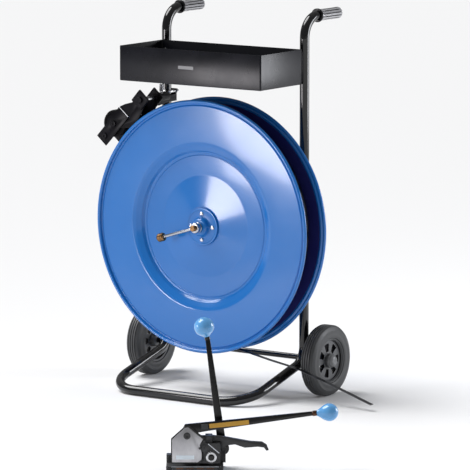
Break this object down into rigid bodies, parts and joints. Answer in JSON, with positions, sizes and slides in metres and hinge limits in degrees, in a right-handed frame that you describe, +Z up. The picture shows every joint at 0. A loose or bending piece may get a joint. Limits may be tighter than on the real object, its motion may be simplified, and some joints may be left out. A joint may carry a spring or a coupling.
{
  "type": "strap dispenser trolley with hand strapping tool",
  "caption": "Two-wheeled steel strapping trolley with a flanged reel, tray, hold-down arm and strap tail, and a hand tool with tensioning and sealing levers.",
  "frame": {"origin": "on the floor, under the middle of the whole set's box", "axes": "+Z up; -Y to the front, which the reel's clamp lever faces; +X to the right seen from the front"},
  "size_m": [1.2812, 1.277, 1.0805],
  "materials": {
    "black_tube": "gloss black enamel",
    "black_plate": "semi-gloss black enamel",
    "tray_black": "satin black powder coat",
    "grip_grey": "glossy grey plastic",
    "collar_black": "glossy black plastic",
    "tyre": "dark grey rubber",
    "rim_grey": "dark grey moulded plastic",
    "disc_blue": "gloss blue enamel",
    "hub_blue": "gloss light blue enamel",
    "bright_steel": "turned steel",
    "zinc": "bright zinc plate",
    "brass": "turned brass",
    "strap_steel": "dark blued steel",
    "drum_grey": "grey enamel",
    "roller_rubber": "black rubber",
    "tool_silver": "satin nickel",
    "tool_dark": "dark phosphated casting",
    "lever_black": "gloss black enamel",
    "knob_blue": "glossy light blue plastic",
    "copper_ring": "bronze ring"
  },
  "bodies": {
    "root": {"left_upright": "black_tube", "right_upright": "black_tube", "foot_bow": "black_tube", "axle": "black_tube", "reel_crossbar": "black_tube", "left_grip": "grip_grey", "right_grip": "grip_grey", "grip_collars": "collar_black", "tray": "tray_black", "tray_brackets": "black_plate", "frame_bolts": "zinc", "axle_washers": "zinc", "bearing_housing": "black_plate", "brake_hanger": "black_plate", "u_bolt": "zinc", "arm_spring": "bright_steel", "strap_tail": "strap_steel"},
    "left_wheel": {"left_tyre": "tyre", "left_rim": "rim_grey", "left_hub_cap": "rim_grey"},
    "right_wheel": {"right_tyre": "tyre", "right_rim": "rim_grey", "right_hub_cap": "rim_grey"},
    "reel": {"rear_disc": "disc_blue", "spindle": "bright_steel", "spindle_nut": "zinc", "rear_hub_flange": "disc_blue", "rear_hub_bolts": "zinc", "coil_drum": "drum_grey", "strap_coil": "strap_steel", "coil_clip": "zinc"},
    "front_disc_set": {"front_disc": "disc_blue", "front_hub_flange": "hub_blue", "front_hub_bolts": "zinc"},
    "clamp": {"clamp_nut": "bright_steel", "clamp_bar": "bright_steel", "clamp_bar_knob": "brass", "clamp_cap": "brass"},
    "hold_down_arm": {"arm_channel": "black_plate", "roller_cheeks": "black_plate", "guide_blade": "zinc", "cheek_bolts": "black_plate", "square_lugs": "black_plate", "pivot_shaft": "zinc"},
    "arm_roller": {"guide_roller": "roller_rubber"},
    "hand_tool": {"tool_base": "tool_dark", "tool_body": "tool_dark", "tool_side_plate": "tool_silver", "tool_screws": "tool_dark", "tool_ring": "zinc"},
    "feed": {"feed_wheel": "bright_steel", "feed_shaft": "bright_steel"},
    "tension": {"tension_lever": "lever_black", "tension_ferrule": "copper_ring", "tension_knob": "knob_blue"},
    "sealing": {"sealing_lever": "lever_black", "sealing_ferrule": "copper_ring", "sealing_knob": "knob_blue"},
    "release": {"release_lever": "lever_black"}
  },
  "joints": [
    {"name": "left_wheel_spin", "type": "hinge", "parent": "root", "child": "left_wheel", "pos_m": [-0.59721, 0.4811, 0.1], "axis": [1, 0, 0], "continuous": true},
    {"name": "right_wheel_spin", "type": "hinge", "parent": "root", "child": "right_wheel", "pos_m": [0.04999, 0.4811, 0.1], "axis": [1, 0, 0], "continuous": true},
    {"name": "reel_spin", "type": "hinge", "parent": "root", "child": "reel", "pos_m": [-0.27361, 0.4685, 0.473], "axis": [0, -1, 0], "continuous": true},
    {"name": "front_disc_removal", "type": "slide", "parent": "reel", "child": "front_disc_set", "axis": [0, -1, 0], "range_m": [0, 0.12]},
    {"name": "clamp_turn", "type": "hinge", "parent": "front_disc_set", "child": "clamp", "pos_m": [-0.27361, 0.4685, 0.473], "axis": [0, -1, 0], "range_deg": [0, 720]},
    {"name": "arm_swing", "type": "hinge", "parent": "root", "child": "hold_down_arm", "pos_m": [-0.48861, 0.3485, 0.815], "axis": [0, -1, 0], "range_deg": [0, 24], "deforming": ["arm_spring"]},
    {"name": "roller_spin", "type": "hinge", "parent": "hold_down_arm", "child": "arm_roller", "pos_m": [-0.58361, 0.3485, 0.741], "axis": [0, -1, 0], "continuous": true},
    {"name": "tool_lift", "type": "slide", "parent": "root", "child": "hand_tool", "axis": [0, 0, 1], "range_m": [0, 0.4]},
    {"name": "tension_swing", "type": "hinge", "parent": "hand_tool", "child": "tension", "pos_m": [0.31871, -0.59676, 0.0365], "axis": [0.5707, -0.8211, 0], "range_deg": [0, 75]},
    {"name": "feed_turn", "type": "hinge", "parent": "hand_tool", "child": "feed", "pos_m": [0.30729, -0.58033, 0.0365], "axis": [0.5707, -0.8211, 0], "range_deg": [0, 75]},
    {"name": "sealing_swing", "type": "hinge", "parent": "hand_tool", "child": "sealing", "pos_m": [0.3649, -0.50376, 0.048], "axis": [-0.5707, 0.8211, 0], "range_deg": [0, 60]},
    {"name": "release_squeeze", "type": "hinge", "parent": "hand_tool", "child": "release", "pos_m": [0.35638, -0.55109, 0.082], "axis": [0.5707, -0.8211, 0], "range_deg": [0, 10], "stiffness_Nm_per_rad": 1, "springref_deg": -17.19}
  ],
  "couplings": [
    {"joint": "feed_turn", "follows": "tension_swing", "ratio": 1}
  ]
}
